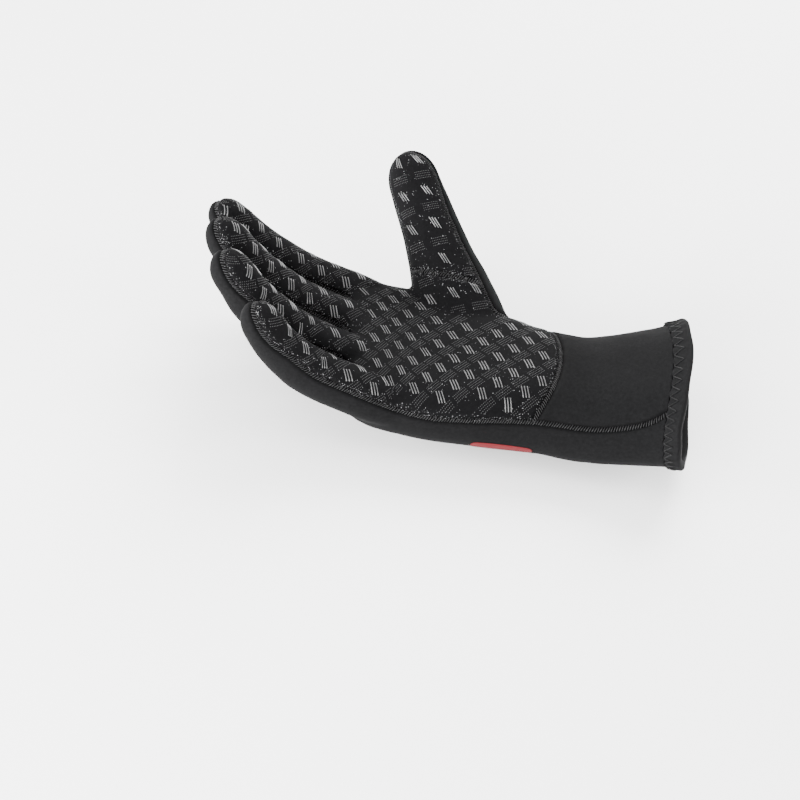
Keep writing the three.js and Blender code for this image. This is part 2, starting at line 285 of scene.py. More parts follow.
class Tube:
    """A tube of neoprene round a centre line."""

    sides = 48
    reach = 1.0
    back_bow = 0.3
    offset = Vector((0.0, 0.0, 0.0))

    def frame_at(self, distance: float) -> tuple[Vector, Quaternion]:
        """The frame of the centre line at a distance along it."""
        raise NotImplementedError

    def size_at(self, distance: float, inset: float = 0.0) -> Size:
        """The section at a distance along the centre line."""
        raise NotImplementedError

    def place(
        self, frame_of: tuple[Vector, Quaternion], size: Size, y: float, z: float
    ) -> Vector:
        """Puts a point of a section in its place in the glove.

        Args:
            frame_of: the centre line's point and turn there.
            size: the section.
            y: how far to the thumb's side.
            z: how far out of the palm.

        Returns:
            The point in the frame of the object.
        """
        point, turn = frame_of
        across = y / size.width
        up = clamp(z / (size.palm if z > 0 else size.back), -1.0, 1.0)
        bow = size.bow * lerp(self.back_bow, 1.0, (up + 1.0) / 2.0)
        x = size.lean * y + bow * (1.0 - 4.0 * across**2)
        raised = z + size.cup * (0.5 - across) ** 2
        return turn @ Vector((x, y + size.shift, raised)) + point + self.offset

    def outline(self, size: Size, angle: float, inset: float) -> tuple[float, float]:
        """A point of the section's outline.

        Args:
            size: the section.
            angle: the angle round it, from the thumb's side over the back.
            inset: how far in from the outside.

        Returns:
            How far the point is to the thumb's side and out of the palm.
        """
        power = 2.0 / size.square
        along, up = math.cos(angle), math.sin(angle)
        y = math.copysign(abs(along) ** power, along) * (size.width / 2 - inset)
        open_share = max(1.0 - 4.0 * (y / size.width) ** 2, 0.0)
        palm = (size.palm - inset) * (1.0 - size.hollow * open_share**2)
        depth = palm if up > 0 else size.back - inset
        return y, math.copysign(abs(up) ** power, up) * depth

    def surface(self, distance: float, angle: float, inset: float = 0.0) -> Vector:
        """A point of the tube's wall, which lies flat where it would go below the floor.

        Args:
            distance: how far along the centre line.
            angle: the angle round the section.
            inset: how far in from the outside.

        Returns:
            The point in the frame of the object.
        """
        size = self.size_at(distance, inset)
        point = self.place(self.frame_at(distance), size, *self.outline(size, angle, inset))
        point.z = max(point.z, inset, 0.0)
        return point

    def ring(self, distance: float) -> list[tuple[Vector, float]]:
        """One ring of the outside, which lies flat where it would go below the floor.

        Args:
            distance: how far along the centre line.

        Returns:
            The ring's points, each with its height above the side seam.
        """
        size = self.size_at(distance)
        frame = self.frame_at(distance)
        rows = []
        for i in range(self.sides):
            y, z = self.outline(size, -2 * math.pi * i / self.sides, 0.0)
            share = y / size.width
            raised = z + size.cup * (0.5 - share) ** 2
            seam = lerp(size.little, size.thumb, clamp(share + 0.5, -0.5, 1.5))
            point = self.place(frame, size, y, z)
            point.z = max(point.z, 0.0)
            rows.append((point, raised - seam - size.cup * (0.5 - y / self.reach)))
        return rows

    def loft(self, bm: BMesh) -> None:
        """Adds the closed tube.

        Args:
            bm: the mesh that gets the tube.
        """
        rings = [self.ring(distance) for distance in self.distances()]
        shell(bm, len(rings), self.sides, lambda i, j: rings[i][j][0], closed=False)


def shell(
    bm: BMesh,
    rows: int,
    sides: int,
    place: Callable[[int, int], Vector],
    closed: bool,
) -> list[BMVert]:
    """Adds a tube made from a grid, welded along its side and capped or joined at its ends.

    Args:
        bm: the mesh that gets the tube.
        rows: the number of rings.
        sides: the number of points of a ring.
        place: gives the point of a ring's number and a side's.
        closed: whether the last ring joins the first, as on a torus.

    Returns:
        The tube's vertices.
    """
    tall = rows + 1 if closed else rows
    size = 1.0
    made = bmesh.ops.create_grid(bm, x_segments=sides, y_segments=tall - 1, size=size)
    verts = made["verts"]
    for v in verts:
        j = round((v.co.x / size + 1.0) / 2.0 * sides)
        i = round((v.co.y / size + 1.0) / 2.0 * (tall - 1))
        v.co = place(i % rows, j % sides)
    bmesh.ops.remove_doubles(bm, verts=verts, dist=1e-6)
    verts = [v for v in verts if v.is_valid]
    if not closed:
        rim = [e for e in {e for v in verts for e in v.link_edges} if e.is_boundary]
        bmesh.ops.holes_fill(bm, edges=rim, sides=0)
    return verts


@dataclass
class Hand(Tube):
    """The hand and gauntlet. Distances run from the wrist, below zero along the gauntlet."""

    sides: int = 96
    palm_length: float = 112.0 * MM
    palm_width: float = 95.0 * MM
    palm_depth: float = 20.0 * MM
    back_depth: float = 22.0 * MM
    palm_cup: float = 6.0 * MM
    floor_press: float = 1.6 * MM
    cuff_length: float = 59.5 * MM
    wrist_bend: Joint = Joint(14.0 * MM, 46.0 * MM, -20.0, 12.0)
    knuckle_back: float = 24.0 * MM
    knuckle_spread: float = 26.0 * MM
    knuckle_pitch: float = 8.0
    ring_step: float = 1.6 * MM

    def __post_init__(self) -> None:
        """Lays out the two centre lines, which start back to back at the wrist."""
        self.reach = 1.3 * self.palm_width
        wrist = Vector((0.0, 0.0, self.back_depth - self.floor_press))
        level = Quaternion()
        knuckles = Joint(
            self.palm_length - self.knuckle_back, self.knuckle_spread, self.knuckle_pitch
        )
        self.palm_spine = Spine(wrist, level, [knuckles], self.palm_length)
        self.cuff_spine = Spine(wrist, level, [self.wrist_bend], self.cuff_length, True)

    def frame_at(self, distance: float) -> tuple[Vector, Quaternion]:
        """The frame of the palm's line, or of the gauntlet's below zero."""
        if distance < 0:
            return self.cuff_spine.frame_at(-distance)
        return self.palm_spine.frame_at(distance)

    def size_at(self, distance: float, inset: float = 0.0) -> Size:
        """The section at a distance from the wrist.

        Args:
            distance: how far along the palm, or below zero along the gauntlet.
            inset: not used, as the hand's ends are open or inside the fingers.

        Returns:
            The section.
        """
        length = self.cuff_length if distance < 0 else self.palm_length
        at = clamp(distance / length, -1.0, 1.0)
        share = {name: HAND_SECTIONS.value(at, name) for name in HAND_SECTIONS.names[1:]}
        palm = share["palm"] * self.palm_depth
        return Size(
            width=share["width"] * self.palm_width,
            palm=palm,
            back=share["back"] * self.back_depth,
            square=share["square"],
            little=share["little_seam"] * palm,
            thumb=share["thumb_seam"] * palm,
            shift=share["shift"] * self.palm_width,
            lean=share["lean"],
            bow=share["bow"] * self.palm_width,
            cup=share["cup"] * self.palm_cup,
            hollow=share["hollow"],
        )

    def distances(self) -> list[float]:
        """Where the sections lie, from past the hem's mouth to the finger roots."""
        start = -self.cuff_length - 5.0 * MM
        count = round((self.palm_length - start) / self.ring_step)
        return [lerp(start, self.palm_length, i / count) for i in range(count + 1)]


@dataclass
class Digit(Tube):
    """A finger or the thumb. Distances run from its root, which lies inside the hand."""

    hand: Hand
    name: str
    length: float
    width: float
    depth: float
    across: float
    setback: float
    splay: float
    bends: tuple[float, float, float]
    sections: Sections
    seam: tuple[float, float]
    lift: float = 0.0
    roll: float = 0.0
    root: float = 34.0 * MM
    spread: float = 20.0 * MM
    tip_round: float = 0.62
    dome_power: float = 0.45
    square: float = 2.15
    sides: int = 44
    ring_step: float = 1.6 * MM
    tip_rings: int = 12
    tip_seam: float = 0.15

    def __post_init__(self) -> None:
        """Lays out the centre line from inside the hand."""
        hand = self.hand
        self.reach = 3.0 * self.width
        self.neck = self.root + self.length - self.tip_round * self.width
        web = hand.palm_length * (1.0 - self.setback)
        point, turn = hand.frame_at(web - self.root)
        size = hand.size_at(web)
        y = self.across * hand.palm_width
        start = turn @ Vector((0.0, y, size.cup * (0.5 - y / size.width) ** 2)) + point
        heading = turn @ turn_about(Z_AXIS, -self.splay) @ turn_about(Y_AXIS, self.lift)
        heading = heading @ turn_about(X_AXIS, self.roll)
        places = (-hand.knuckle_back, 0.3 * self.length, 0.62 * self.length)
        joints = [Joint(self.root + at, self.spread, b) for at, b in zip(places, self.bends)]
        self.spine = Spine(start, heading, joints, self.root + self.length)

    def frame_at(self, distance: float) -> tuple[Vector, Quaternion]:
        """The frame of the digit's line."""
        return self.spine.frame_at(distance)

    def size_at(self, distance: float, inset: float = 0.0) -> Size:
        """The section, which closes as a dome at the tip.

        Args:
            distance: how far along the digit.
            inset: how far in from the outside the dome lies.

        Returns:
            The section.
        """
        at = min(distance / self.neck, 1.0)
        dome = self.root + self.length - inset - self.neck
        up = clamp((distance - self.neck) / dome, 0.0, 1.0)
        scale = (1.0 - up**2) ** self.dome_power
        depth = self.sections.value(at, "depth") * self.depth / 2
        width = self.sections.value(at, "width") * self.width
        half = (depth - inset) * scale + inset
        fall = smoothstep(distance, self.neck - 18 * MM, self.neck + 4 * MM)
        little, thumb = (lerp(seam, min(seam, self.tip_seam), fall) for seam in self.seam)
        return Size(
            width=(width - 2 * inset) * scale + 2 * inset,
            palm=half,
            back=half,
            square=self.square,
            little=little * depth,
            thumb=thumb * depth,
        )

    def distances(self) -> list[float]:
        """Where the sections lie, closer together round the tip."""
        count = round(self.neck / self.ring_step)
        places = [self.neck * i / count for i in range(count + 1)]
        dome = self.root + self.length - self.neck
        quarter = math.pi / 2
        for i in range(1, self.tip_rings + 1):
            places.append(self.neck + dome * math.sin(quarter * i / (self.tip_rings + 0.35)))
        return places


@dataclass
class Skeleton:
    """The hand and the five digits, in place in the frame."""

    finger_length: float = 84.0 * MM
    finger_width: float = 24.0 * MM
    hand: Hand = field(default_factory=Hand)

    def __post_init__(self) -> None:
        """Makes the digits and moves everything to where the CAD box is."""
        columns = "name length width depth across setback splay".split()
        rows = (
            ("index", 1.0, 1.0, 1.0, 0.36, 0.0, 3.0, (8.0, 15.0, 15.0)),
            ("middle", 1.0, 1.02, 1.02, 0.105, -0.01, 0.0, (13.0, 18.0, 16.0)),
            ("ring", 0.976, 0.98, 1.0, -0.155, 0.02, -3.0, (16.0, 20.0, 17.0)),
            ("pinky", 0.786, 0.917, 0.958, -0.4, 0.08, -5.0, (17.0, 21.0, 17.0)),
        )
        self.fingers = []
        for *values, bends in rows:
            row = dict(zip(columns, values))
            row["length"] *= self.finger_length
            row["width"] *= self.finger_width
            row["depth"] *= self.finger_width
            row.update(bends=bends, sections=FINGER_SECTIONS, seam=(0.55, 0.6))
            finger = Digit(self.hand, **row)
            self.fingers.append(finger)
        self.thumb = Digit(
            self.hand,
            name="thumb",
            length=68.0 * MM,
            width=30.0 * MM,
            depth=27.0 * MM,
            across=0.3,
            setback=0.25,
            splay=54.0,
            lift=30.0,
            roll=22.0,
            bends=(0.0, -4.0, 6.0),
            sections=THUMB_SECTIONS,
            seam=(0.1, 0.85),
            tip_seam=0.6,
        )
        self.digits = [*self.fingers, self.thumb]
        self.tubes = [self.hand, *self.digits]
        middle = (Vector(cad_box[0]) + Vector(cad_box[1])) / 2
        low, high = self.reach()
        move = middle - (low + high) / 2
        Tube.offset = Vector((move.x, move.y, 0.0))

    def reach(self) -> tuple[Vector, Vector]:
        """The corners of the box round the tubes and the hem."""
        steps = [2 * math.pi * i / 60 for i in range(60)]
        hand = self.hand
        points = [hand.surface(-hand.cuff_length, a, -Hem.proud) for a in steps]
        for tube in self.tubes:
            for d in tube.distances()[::3]:
                if d > -hand.cuff_length:
                    points += [tube.surface(d, a) for a in steps]
        low = Vector([min(p[k] for p in points) for k in range(3)])
        high = Vector([max(p[k] for p in points) for k in range(3)])
        return low, high

    def web(self, i: int) -> float:
        """The web between a finger and the next one, measured across the palm."""
        a, b = self.fingers[i], self.fingers[i + 1]
        return (a.across + b.across) / 2 * self.hand.palm_width


def new_object(name: str, bm: BMesh) -> bpy.types.Object:
    """Makes an object of a mesh, at the origin.

    Args:
        name: the object's name.
        bm: its mesh, which is freed.

    Returns:
        The object, in the scene.
    """
    mesh = bpy.data.meshes.new(name)
    bm.to_mesh(mesh)
    bm.free()
    obj = bpy.data.objects.new(name, mesh)
    bpy.context.scene.collection.objects.link(obj)
    return obj


def applied(obj: bpy.types.Object) -> BMesh:
    """Takes an object's mesh as its modifiers make it, and removes the object.

    Args:
        obj: the object.

    Returns:
        The mesh.
    """
    bm = bmesh.new()
    bm.from_object(obj, bpy.context.evaluated_depsgraph_get())
    bpy.data.objects.remove(obj)
    return bm


def shade_smooth(obj: bpy.types.Object) -> None:
    """Makes every face of an object smooth."""
    obj.data.polygons.foreach_set("use_smooth", [True] * len(obj.data.polygons))


def finish_piece(obj: bpy.types.Object, slot: str, *materials: bpy.types.Material) -> None:
    """Gives a piece its materials and lets it ride on the glove.

    Args:
        obj: the piece.
        slot: not used.
        materials: its materials, in order.
    """
    for material in materials:
        obj.data.materials.append(material)
    shade_smooth(obj)
    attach(obj, "root")
    log.info("%s: %d faces", obj.name, len(obj.data.polygons))


def relax(values: np.ndarray, edges: np.ndarray, rounds: int) -> np.ndarray:
    """Smooths a value over the edges of a mesh.

    Args:
        values: one value for each vertex.
        edges: the two vertices of each edge.
        rounds: how often it is smoothed.

    Returns:
        The smoothed values.
    """
    a, b = edges[:, 0], edges[:, 1]
    size = len(values)
    count = np.bincount(edges.ravel(), minlength=size)
    for _ in range(rounds):
        total = np.bincount(a, values[b], size) + np.bincount(b, values[a], size)
        values = 0.5 * values + 0.5 * total / count
    return values


def cut(bm: BMesh, faces: Sequence[BMFace], value: Callable[[BMVert], float]) -> None:
    """Cuts faces along the line where a value of their vertices is zero.

    Args:
        bm: the mesh.
        faces: the faces that may be cut.
        value: gives a vertex's value.
    """
    layers = bm.verts.layers.float.values()
    edges = list({e for f in faces for e in f.edges})
    held = set()
    for edge in edges:
        v, w = edge.verts
        for near, far in ((v, w), (w, v)):
            a, b = value(near), value(far)
            if a * b < 0 and abs(a) < 0.2 * abs(a - b) and near not in held:
                share = a / (a - b)
                near.co = near.co.lerp(far.co, share)
                for layer in layers:
                    near[layer] = lerp(near[layer], far[layer], share)
                held.add(near)
    for edge in edges:
        v, w = edge.verts
        a, b = value(v), value(w)
        if a * b < 0 and v not in held and w not in held:
            held.add(bmesh.utils.edge_split(edge, v, a / (a - b))[1])
    bmesh.ops.connect_verts(bm, verts=list(held))


def mean(face: BMFace, value: Callable[[BMVert], float]) -> float:
    """The mean of a value over a face's vertices."""
    return sum(value(v) for v in face.verts) / len(face.verts)


@dataclass
class Path:
    """A line along a seam or a fold, with the skin's normals."""

    points: np.ndarray
    normals: np.ndarray
    panels: tuple[int, int] = (0, 0)

    def smoothed(self, rounds: int) -> "Path":
        """The path with its corners rounded off.

        Args:
            rounds: how often each point is moved towards its neighbours.

        Returns:
            The new path, which keeps its two ends.
        """
        p, n = self.points.copy(), self.normals.copy()
        for _ in range(rounds):
            for rows in (p, n):
                rows[1:-1] = 0.5 * rows[1:-1] + 0.25 * (rows[:-2] + rows[2:])
        return Path(p, n, self.panels)

    def frames(self, pitch: float, lift: float = 0.0) -> np.ndarray:
        """Frames at even steps: the origin, the way along, the way across and the way out.

        Args:
            pitch: the step.
            lift: how far out of the skin the origins lie.

        Returns:
            An array of one 4 by 3 block for each frame.
        """
        steps = np.linalg.norm(np.diff(self.points, axis=0), axis=1)
        run = np.concatenate([[0.0], np.cumsum(steps)])
        count = int(run[-1] / pitch)
        if count < 2:
            return np.zeros((0, 4, 3))
        at = (np.arange(count) + 0.5) * run[-1] / count
        point = np.stack([np.interp(at, run, self.points[:, k]) for k in range(3)], axis=1)
        normal = np.stack([np.interp(at, run, self.normals[:, k]) for k in range(3)], axis=1)
        normal /= np.linalg.norm(normal, axis=1, keepdims=True)
        along = np.gradient(point, axis=0)
        along -= normal * np.sum(along * normal, axis=1, keepdims=True)
        along /= np.linalg.norm(along, axis=1, keepdims=True)
        across = np.cross(normal, along)
        return np.stack([point + normal * lift, along, across, normal], axis=1)


def copies(name: str, template: BMesh, count: int) -> tuple[bpy.types.Object, np.ndarray]:
    """Repeats a small shape with an array modifier.

    Args:
        name: the new object's name.
        template: the shape, which is freed.
        count: how many there are.

    Returns:
        The object, whose copies lie on one another in order, and the shape's points.
    """
    template.verts.ensure_lookup_table()
    shape = np.array([v.co[:] for v in template.verts])
    obj = new_object(name, template)
    array = obj.modifiers.new("Copies", "ARRAY")
    array.fit_type = "FIXED_COUNT"
    array.count = count
    array.use_relative_offset = False
    array.use_constant_offset = True
    array.constant_offset_displace = (0.0, 0.0, 0.0)
    return new_object(name, applied(obj)), shape


def set_points(obj: bpy.types.Object, points: np.ndarray) -> None:
    """Moves an object's vertices to these points."""
    obj.data.vertices.foreach_set("co", np.ascontiguousarray(points, dtype=np.float32).ravel())
    obj.data.update()


def along_frames(
    name: str, template: BMesh, frames: np.ndarray, jitter: float = 0.0
) -> bpy.types.Object:
    """Sets copies of a small shape into frames.

    Args:
        name: the new object's name.
        template: the shape, its x along, its y across and its z out.
        frames: the frames.
        jitter: how unevenly large the copies are.

    Returns:
        The object.
    """
    obj, shape = copies(name, template, len(frames))
    rng = np.random.default_rng(len(frames))
    scale = 1.0 + jitter * rng.uniform(-1.0, 1.0, (len(frames), 1, 3))
    local = shape[None, :, :] * scale
    points = frames[:, None, 0] + np.einsum("njk,nkl->njl", local, frames[:, 1:])
    set_points(obj, points.reshape(-1, 3))
    return obj


@dataclass
class Skin:
    """The fused outside of the glove, cut along its seams into panels."""

    skeleton: Skeleton
    voxel: float = 1.15 * MM
    smoothing: int = 5
    wall: float = 3.0 * MM
    hem_length: float = 9.0 * MM
    wrist_seam: float = 16.3 * MM
    wrist_bow: float = 11.5 * MM
    wrist_width: float = 84.0 * MM
    insert_depth: float = 40.0 * MM
    insert_spread: tuple[float, float] = (0.04, 0.1)
    thumb_seam_at: float = 30.0 * MM
    thumb_seam_tilt: float = -30.0
    fine: float = 2.6 * MM
    groove: float = 1.15 * MM
    groove_floor: float = 0.8 * MM
    groove_half: float = 2.5 * MM
    ripple: float = 0.4 * MM

    def wrist_value(self, v: BMVert) -> float:
        """How far a vertex lies on the gauntlet's side of the seam at the wrist."""
        x, y = v.co.x - Tube.offset.x, v.co.y - Tube.offset.y
        edge = self.wrist_width / 2
        bow = self.wrist_bow * (1.0 - (y / edge) ** 2) if abs(y) < edge else 0.0
        return x + self.wrist_seam - bow

    def insert_value(self, v: BMVert) -> float:
        """How far a vertex lies outside the round seam behind the knuckles."""
        x, y = v.co.x - Tube.offset.x, v.co.y - Tube.offset.y
        high, low = self.skeleton.web(0), self.skeleton.web(2)
        radius, middle = (high - low) / 2, (high + low) / 2
        arc = self.insert_depth - self.skeleton.hand.palm_length - radius
        if x > arc:
            return math.hypot(x - arc, y - middle) - radius
        past = max(-self.skeleton.hand.palm_length - x, 0.0)
        spread = self.insert_spread[0 if y > middle else 1] * past
        return abs(y - middle) - radius - spread

    def split_value(self, v: BMVert) -> float:
        """How far a vertex lies on the middle finger's side of the ring finger."""
        return v.co.y - Tube.offset.y - self.skeleton.web(1)

    def thumb_value(self, v: BMVert) -> float:
        """How far a vertex lies on the palm's side of the seam across the thumb."""
        local = self.thumb_turn @ (v.co - self.thumb_point)
        own = v[self.owner] == len(self.skeleton.tubes) - 1
        return local.x if own else max(local.x, 0.6 * MM)

    def fuse(self) -> BMesh:
        """Joins the tubes into one skin.

        Returns:
            The skin, of even small faces.
        """
        bm = bmesh.new()
        for tube in self.skeleton.tubes:
            tube.loft(bm)
        bmesh.ops.recalc_face_normals(bm, faces=bm.faces)
        obj = new_object("tubes", bm)
        remesh = obj.modifiers.new("Fuse", "REMESH")
        remesh.mode = "VOXEL"
        remesh.voxel_size = self.voxel
        bm = applied(obj)
        loose = [v for v in bm.verts if not v.link_faces]
        bmesh.ops.delete(bm, geom=loose, context="VERTS")
        seen = set()
        islands = []
        for start in bm.faces:
            if start in seen:
                continue
            island, todo = [], [start]
            seen.add(start)
            while todo:
                face = todo.pop()
                island.append(face)
                for edge in face.edges:
                    for other in edge.link_faces:
                        if other not in seen:
                            seen.add(other)
                            todo.append(other)
            islands.append(island)
        islands.sort(key=len)
        for island in islands[:-1]:
            bmesh.ops.delete(bm, geom=island, context="FACES")
        for _ in range(self.smoothing):
            bmesh.ops.smooth_vert(
                bm, verts=bm.verts, factor=0.5, use_axis_x=True, use_axis_y=True, use_axis_z=True
            )
        log.info("fused skin: %d faces, %d islands", len(bm.faces), len(islands))
        return bm

    def measure(self, bm: BMesh) -> None:
        """Stores each vertex's height above the side seam, its run and the tube that owns it.

        Args:
            bm: the skin.
        """
        rows = []
        for number, tube in enumerate(self.skeleton.tubes):
            for distance in tube.distances():
                run = distance if number == 0 else self.skeleton.hand.palm_length
                rows += [(p, height, run, number) for p, height in tube.ring(distance)]
        tree = KDTree(len(rows))
        for i, row in enumerate(rows):
            tree.insert(row[0], i)
        tree.balance()
        bm.verts.ensure_lookup_table()
        bm.verts.index_update()
        heights = np.zeros(len(bm.verts))
        runs = np.zeros(len(bm.verts))
        self.owner = owner = bm.verts.layers.int.new("owner")
        for v in bm.verts:
            near = tree.find_n(v.co, 6)
            v[owner] = rows[near[0][1]][3]
            weight = [1.0 / (d * d + 1e-8) for _, _, d in near]
            total = sum(weight)
            heights[v.index] = sum(w * rows[n[1]][1] for w, n in zip(weight, near)) / total
            runs[v.index] = sum(w * rows[n[1]][2] for w, n in zip(weight, near)) / total
        edges = np.array([[v.index for v in e.verts] for e in bm.edges])
        heights = relax(heights, edges, 10)
        height = bm.verts.layers.float.new("height")
        run = bm.verts.layers.float.new("run")
        for v in bm.verts:
            v[height] = heights[v.index]
            v[run] = runs[v.index]

    def refine(self, bm: BMesh) -> None:
        """Halves the faces along the seams.

        Args:
            bm: the skin.
        """
        height = bm.verts.layers.float["height"]

        def near(v: BMVert) -> bool:
            """Whether a vertex is near a seam."""
            wide = self.fine
            if abs(v[height]) < wide:
                return True
            if v[height] > 0:
                return abs(self.wrist_value(v)) < wide or abs(self.thumb_value(v)) < wide
            insert = self.insert_value(v)
            return abs(insert) < wide or insert < 0 and abs(self.split_value(v)) < wide

        chosen = {v for v in bm.verts if near(v)}
        edges = [e for e in bm.edges if e.verts[0] in chosen and e.verts[1] in chosen]
        bmesh.ops.subdivide_edges(bm, edges=edges, cuts=1, use_grid_fill=True)

    def cut_panels(self, bm: BMesh) -> None:
        """Cuts the skin along the mouth and the seams, and numbers the panels.

        Args:
            bm: the skin, whose faces get their panel's number as material index.
        """
        height = bm.verts.layers.float["height"]
        run = bm.verts.layers.float["run"]
        mouth = self.hem_length - self.skeleton.hand.cuff_length
        thumb = self.skeleton.thumb
        point, turn = thumb.frame_at(self.thumb_seam_at)
        self.thumb_point = point + Tube.offset
        self.thumb_turn = (turn @ turn_about(Z_AXIS, self.thumb_seam_tilt)).inverted()

        def by_run(v: BMVert) -> float:
            """How far a vertex lies beyond the hem."""
            return v[run] - mouth

        def by_height(v: BMVert) -> float:
            """How far a vertex lies above the side seam."""
            return v[height]

        self.refine(bm)
        cut(bm, [f for f in bm.faces if abs(mean(f, by_run)) < 4 * MM], by_run)
        beyond = [f for f in bm.faces if mean(f, by_run) < 0]
        bmesh.ops.delete(bm, geom=beyond, context="FACES")
        cut(bm, [f for f in bm.faces if abs(mean(f, by_height)) < 4 * MM], by_height)

        def among(panel: Panel, value: Callable[[BMVert], float], inside: Panel) -> None:
            """Cuts off the part of a panel where a value is below zero.

            Args:
                panel: the panel that is cut.
                value: gives a vertex's value.
                inside: the panel that the part becomes.
            """
            number, other = PANELS.index(panel), PANELS.index(inside)
            faces = [f for f in bm.faces if f.material_index == number]
            cut(bm, [f for f in faces if abs(mean(f, value)) < 4 * MM], value)
            for f in bm.faces:
                if f.material_index == number and mean(f, value) < 0:
                    f.material_index = other

        for f in bm.faces:
            above = mean(f, by_height) > 0
            f.material_index = PANELS.index(Panel.PALM if above else Panel.BACK)
        among(Panel.PALM, lambda v: -self.wrist_value(v), Panel.CUFF)
        among(Panel.PALM, self.thumb_value, Panel.THUMB)
        among(Panel.BACK, self.insert_value, Panel.MIDDLE)
        among(Panel.MIDDLE, self.split_value, Panel.RING)
        bmesh.ops.triangulate(bm, faces=[f for f in bm.faces if len(f.verts) > 4])

    def seam_paths(self, bm: BMesh) -> list[Path]:
        """Follows the seams between the panels.

        Args:
            bm: the skin.

        Returns:
            A path for each seam between two junctions.
        """
        pairs = {}
        for e in bm.edges:
            sides = sorted({f.material_index for f in e.link_faces})
            if len(sides) == 2:
                pairs[e] = tuple(sides)
        at = {}
        for e in pairs:
            for v in e.verts:
                at.setdefault(v, []).append(e)
        paths, used = [], set()
        ends = [v for v, es in at.items() if len(es) != 2 or pairs[es[0]] != pairs[es[1]]]
        for start in [*ends, *at]:
            for first in at[start]:
                if first in used:
                    continue
                line, edge, v = [start], first, start
                while edge is not None:
                    used.add(edge)
                    v = edge.other_vert(v)
                    line.append(v)
                    following = [e for e in at[v] if e not in used and pairs[e] == pairs[first]]
                    edge = following[0] if len(at[v]) == 2 and following else None
                if len(line) > 8:
                    points = np.array([v.co[:] for v in line])
                    normals = np.array([v.normal[:] for v in line])
                    paths.append(Path(points, normals, pairs[first]).smoothed(6))
        return paths

    def shape(self, bm: BMesh) -> None:
        """Sinks the seams into grooves and ripples the cloth a little.

        Args:
            bm: the skin, which keeps how near each vertex is to a seam.
        """
        seam = bm.verts.layers.float.new("seam")
        lines = [e for e in bm.edges if len({f.material_index for f in e.link_faces}) > 1]
        tree = KDTree(len(lines) * 2)
        for i, e in enumerate(lines):
            a, b = e.verts
            tree.insert(a.co, 2 * i)
            tree.insert((a.co + b.co) / 2, 2 * i + 1)
        tree.balance()
        bm.normal_update()
        moves = {}
        for v in bm.verts:
            gap = tree.find(v.co)[2]
            # The materials read this nearness to darken the cloth near seams as painted shade and
            # to add more painted glints there.
            v[seam] = 1.0 - smoothstep(gap, 0.5 * MM, 5.0 * MM)
            sink = self.groove * (1.0 - smoothstep(gap, self.groove_floor, self.groove_half))
            wave = noise.noise(v.co * 62.0) + 0.4 * noise.noise(v.co * 150.0)
            wave *= self.ripple * smoothstep(v.co.z, 0.2 * MM, 6.0 * MM)
            moves[v] = v.normal * (wave - sink)
        for v, move in moves.items():
            v.co += move
        bm.normal_update()

    def build(self) -> None:
        """Makes the skin, the paths of its seams and a tree for casting rays at it."""
        bm = self.fuse()
        self.measure(bm)
        self.cut_panels(bm)
        self.shape(bm)
        self.paths = self.seam_paths(bm)
        self.tree = BVHTree.FromBMesh(bm)
        bm.faces.ensure_lookup_table()
        bm.faces.index_update()
        owner = bm.verts.layers.int["owner"]
        self.face_panels = [PANELS[f.material_index] for f in bm.faces]
        self.face_owners = [f.verts[0][owner] for f in bm.faces]
        points = [p for path in self.paths for p in path.points]
        self.seam_tree = KDTree(len(points))
        for i, p in enumerate(points):
            self.seam_tree.insert(p, i)
        self.seam_tree.balance()
        self.bm = bm
        log.info("skin: %d faces, %d seams", len(bm.faces), len(self.paths))

    def panel(self, panel: Panel) -> bpy.types.Object:
        """Makes one panel with its wall.

        Args:
            panel: which panel.

        Returns:
            The panel, which stands for its CAD node.
        """
        bm = self.bm.copy()
        number = PANELS.index(panel)
        others = [f for f in bm.faces if f.material_index != number]
        bmesh.ops.delete(bm, geom=others, context="FACES")
        for f in bm.faces:
            f.material_index = 0
        obj = new_object(panel.value, bm)
        wall = obj.modifiers.new("Wall", "SOLIDIFY")
        wall.thickness = self.wall
        wall.offset = -1.0
        wall.use_quality_normals = True
        wall.material_offset = 1
        wall.material_offset_rim = 1
        return obj


@dataclass
class Seams:
    """The overlock threads over the seams."""

    skin: Skin
    pitch: float = 1.25 * MM
    width: float = 2.3 * MM
    height: float = 0.9 * MM
    thread: float = 0.3 * MM
    slant: float = 0.55
    sides: int = 5
    steps: int = 6

    def stitch(self) -> BMesh:
        """One thread, laid slanting over the seam.

        Returns:
            Its mesh, x along the seam, y across it and z out of the skin.
        """
        bm = bmesh.new()
        half = self.width / 2
        centre = Matrix.Translation((0.0, half, 0.0))
        circle = bmesh.ops.create_circle(
            bm, cap_ends=False, radius=self.thread, segments=self.sides, matrix=centre
        )
        start = Matrix.Rotation(math.radians(-15), 3, "X")
        bmesh.ops.rotate(bm, verts=circle["verts"], matrix=start, cent=(0.0, 0.0, 0.0))
        ring = [*circle["verts"], *bm.edges]
        bmesh.ops.spin(
            bm,
            geom=ring,
            cent=(0.0, 0.0, 0.0),
            axis=(1.0, 0.0, 0.0),
            angle=math.radians(210),
            steps=self.steps,
        )
        for v in bm.verts:
            v.co.z *= self.height / half
            v.co.x += self.slant * v.co.y
        bmesh.ops.recalc_face_normals(bm, faces=bm.faces)
        return bm

    def build(self) -> bpy.types.Object:
        """Lays the threads over all the seams.

        Returns:
            One object with all of them.
        """
        lift = -0.35 * MM
        frames = [path.frames(self.pitch, lift) for path in self.skin.paths]
        return along_frames("overlock_seams", self.stitch(), np.concatenate(frames), 0.16)


class BarKind(Enum):
    """The raised bars and beads: their length, width, height and how many rows make a group."""

    GLOSSY = (6.2, 0.5, 0.42, 3)
    MATTE = (0.6, 0.42, 0.25, 4)


